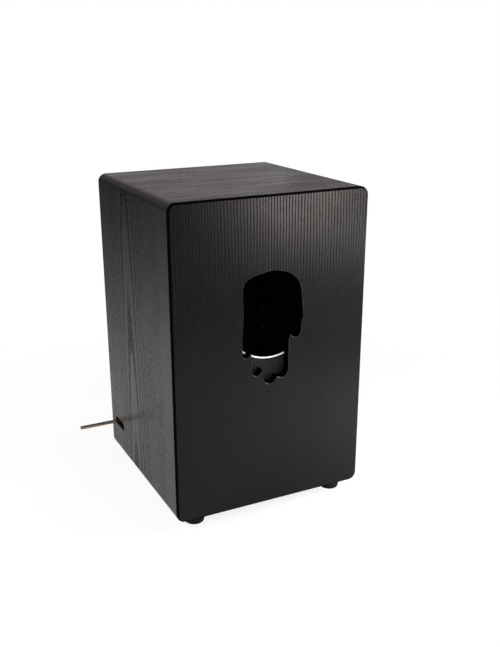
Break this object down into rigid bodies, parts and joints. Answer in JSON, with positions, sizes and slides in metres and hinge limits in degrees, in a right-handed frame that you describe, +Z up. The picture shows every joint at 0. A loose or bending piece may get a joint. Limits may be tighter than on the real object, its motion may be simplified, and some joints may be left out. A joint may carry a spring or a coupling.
{
  "type": "cajon",
  "caption": "Box drum of black ash with a hand-shaped sound hole in its back, a thin screwed striking face, rubber feet and a side lever that swings the snare wires on and off.",
  "frame": {"origin": "on the floor that the four feet stand on, under the middle of the box", "axes": "+Z up, +Y out of the striking face, -Y out of the side with the hand-shaped hole, +X to the right of a person who looks at the hole; the snare lever stands out of the -X side"},
  "size_m": [0.375, 0.3, 0.487],
  "materials": {
    "black_ash": "semi-gloss black-stained ash grain",
    "inner_wood": "dark-stained birch and beech",
    "bright_band": "satin white",
    "black_screw": "black oxide",
    "rubber": "matt black rubber",
    "steel": "drawn steel",
    "nylon": "natural nylon",
    "brass": "plain brass"
  },
  "bodies": {
    "box": {"top_panel": "black_ash", "bottom_panel": "black_ash", "left_side": "black_ash", "right_side": "black_ash", "back_panel": "black_ash", "port_board": "black_ash", "tapa": "black_ash", "front_batten_bottom": "inner_wood", "front_batten_top": "inner_wood", "front_batten_left": "inner_wood", "front_batten_right": "inner_wood", "corner_block_bottom_left": "inner_wood", "corner_block_bottom_right": "inner_wood", "corner_block_top_left": "inner_wood", "corner_block_top_right": "inner_wood", "pivot_block_left": "inner_wood", "pivot_block_right": "inner_wood", "port_ring": "bright_band", "tapa_screws": "black_screw", "foot_screws": "black_screw", "pivot_block_screws": "black_screw", "foot_rear_left": "rubber", "foot_rear_right": "rubber", "foot_front_left": "rubber", "foot_front_right": "rubber", "foot_washers": "steel", "pivot_bush_left": "nylon", "pivot_bush_right": "nylon"},
    "snare_rocker": {"snare_bar": "inner_wood", "lever_arm": "inner_wood", "lever_rod": "steel", "rod_nuts": "steel", "pivot_pins": "steel", "friction_washers": "rubber", "arm_screws": "black_screw", "snare_strip_left": "brass", "snare_strip_right": "brass", "snare_strands_left": "steel", "snare_strands_right": "steel", "snare_screws": "black_screw"}
  },
  "joints": [
    {"name": "snare_lever", "type": "hinge", "parent": "box", "child": "snare_rocker", "pos_m": [0, 0.1145, 0.2185], "axis": [1, 0, 0], "range_deg": [-10, 1.4]}
  ]
}
